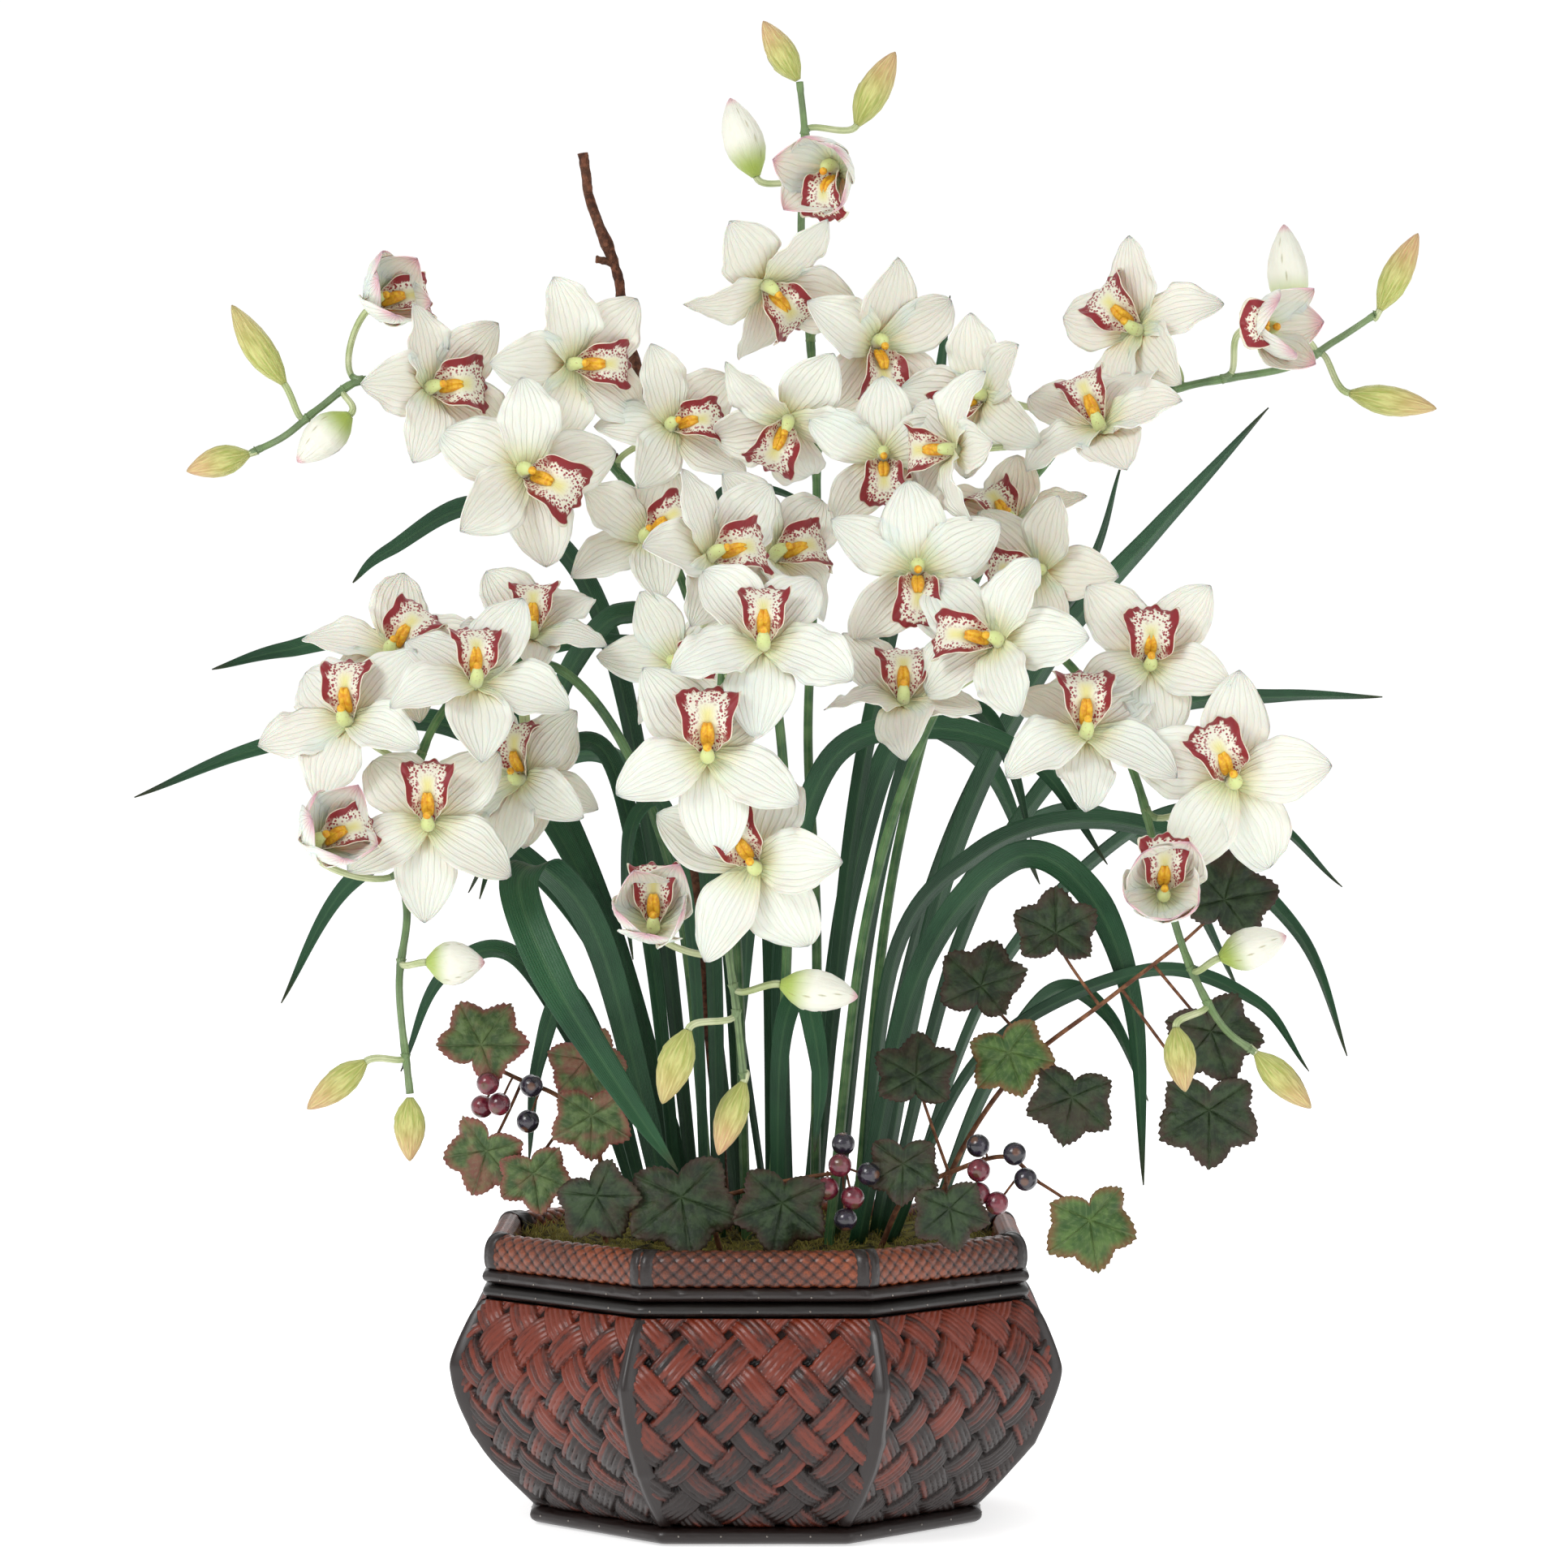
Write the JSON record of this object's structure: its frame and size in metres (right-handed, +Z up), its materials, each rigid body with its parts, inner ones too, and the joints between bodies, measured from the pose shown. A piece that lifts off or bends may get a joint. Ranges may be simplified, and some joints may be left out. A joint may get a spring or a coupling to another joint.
{
  "type": "potted orchid arrangement",
  "caption": "Potted cymbidium orchid: arching white flower sprays, strap leaves, berry vines and a twig in a woven octagonal basket planter.",
  "frame": {"origin": "middle of the basket's resting face", "axes": "+Z up along the stems; -Y is the front, where the low sprays arch forward; +X is the right of the front view"},
  "size_m": [0.7496, 0.4628, 0.8605],
  "materials": {
    "base_board": "matte",
    "cane_rod": "gloss varnish",
    "woven_wall": "satin varnish",
    "woven_rim": "satin varnish",
    "cane_rib": "gloss varnish",
    "liner": "matte",
    "foam": "matte",
    "moss": "fibrous",
    "bark": "rough bark",
    "strap_leaf": "satin",
    "spray": "soft petals",
    "vine": "satin"
  },
  "bodies": {
    "root": {"base_board": "base_board", "base_rod": "cane_rod", "pot_body": "woven_wall", "collar_rod": "cane_rod", "rim_rod": "cane_rod", "rim_band": "woven_rim", "liner": "liner", "foam_block": "foam", "moss": "moss", "twig": "bark", "rib_1": "cane_rib", "rib_2": "cane_rib", "rib_3": "cane_rib", "rib_4": "cane_rib", "rib_5": "cane_rib", "rib_6": "cane_rib", "rib_7": "cane_rib", "rib_8": "cane_rib", "leaf_01": "strap_leaf", "leaf_02": "strap_leaf", "leaf_03": "strap_leaf", "leaf_04": "strap_leaf", "leaf_05": "strap_leaf", "leaf_06": "strap_leaf", "leaf_07": "strap_leaf", "leaf_08": "strap_leaf", "leaf_09": "strap_leaf", "leaf_10": "strap_leaf", "leaf_11": "strap_leaf", "leaf_12": "strap_leaf", "leaf_13": "strap_leaf", "leaf_14": "strap_leaf", "leaf_15": "strap_leaf", "leaf_16": "strap_leaf", "leaf_17": "strap_leaf", "leaf_18": "strap_leaf", "leaf_19": "strap_leaf", "leaf_20": "strap_leaf", "leaf_21": "strap_leaf", "leaf_22": "strap_leaf", "leaf_23": "strap_leaf", "leaf_24": "strap_leaf", "leaf_25": "strap_leaf", "leaf_26": "strap_leaf", "leaf_27": "strap_leaf", "leaf_28": "strap_leaf", "spray_1": "spray", "spray_2": "spray", "spray_3": "spray", "spray_4": "spray", "spray_5": "spray", "spray_6": "spray", "vine_1": "vine", "vine_2": "vine", "vine_3": "vine", "vine_4": "vine"}
  },
  "joints": []
}
